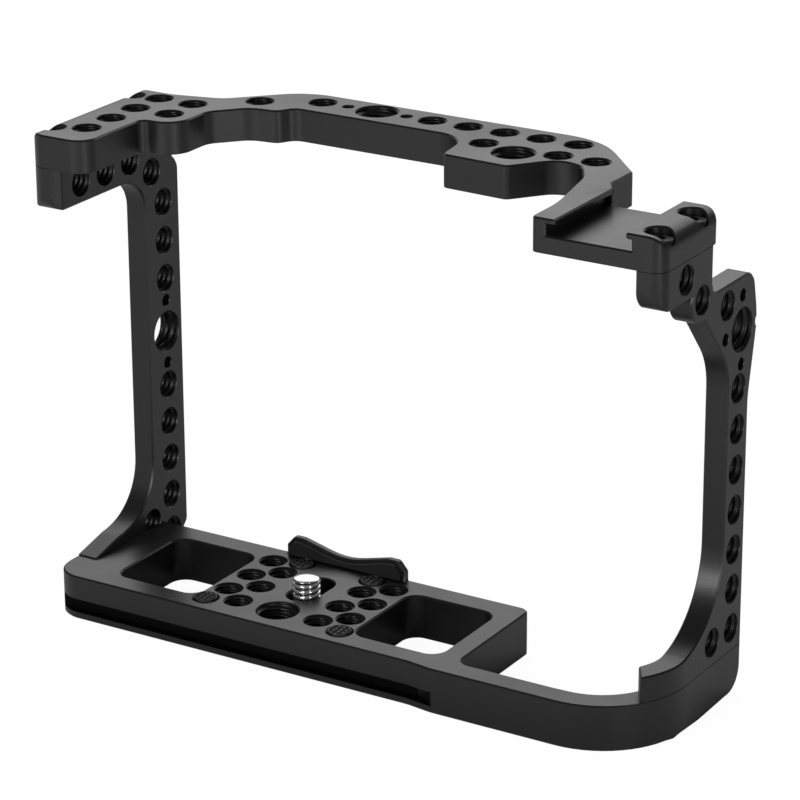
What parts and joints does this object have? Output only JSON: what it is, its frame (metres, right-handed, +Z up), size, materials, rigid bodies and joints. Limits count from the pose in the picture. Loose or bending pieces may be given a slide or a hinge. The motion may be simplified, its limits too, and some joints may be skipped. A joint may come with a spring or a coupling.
{
  "type": "camera cage",
  "caption": "Open machined frame that closes round a camera, with a sliding camera screw, a cold shoe and rows of threaded holes for accessories.",
  "frame": {"origin": "the camera's seat on the bottom plate, on the lens centre line and in the middle of the field of small threads", "axes": "+Z up; +Y to the front of the camera; +X to the camera's grip side, right as its user sees it"},
  "size_m": [0.1515, 0.0591, 0.1116],
  "materials": {
    "anodised": "fine-blasted black anodised aluminium, satin",
    "bare_steel": "turned stainless steel, bright",
    "black_steel": "black oxide on steel, slightly oiled",
    "rubber": "moulded rubber with a fine tread, matt"
  },
  "bodies": {
    "cage": {"bottom_plate": "anodised", "left_side": "anodised", "right_side": "anodised", "top_plate": "anodised", "lip_pad": "rubber", "base_pad_near_left": "rubber", "base_pad_near_right": "rubber", "base_pad_far_left": "rubber", "base_pad_far_right": "rubber", "top_left_screw_near": "black_steel", "top_left_screw_far": "black_steel", "top_right_screw_near": "black_steel", "top_right_screw_far": "black_steel", "foot_screw_near": "black_steel", "foot_screw_far": "black_steel", "bar_screw_near": "black_steel", "bar_screw_far": "black_steel"},
    "carriage": {"screw_washer": "bare_steel"},
    "screw": {"camera_screw": "bare_steel"}
  },
  "joints": [
    {"name": "screw_slide", "type": "slide", "parent": "cage", "child": "carriage", "axis": [0, 1, 0], "range_m": [-0.0017, 0.005]},
    {"name": "screw_turn", "type": "hinge", "parent": "carriage", "child": "screw", "pos_m": [0, 0.0027, 0], "axis": [0, 0, 1], "continuous": true}
  ]
}
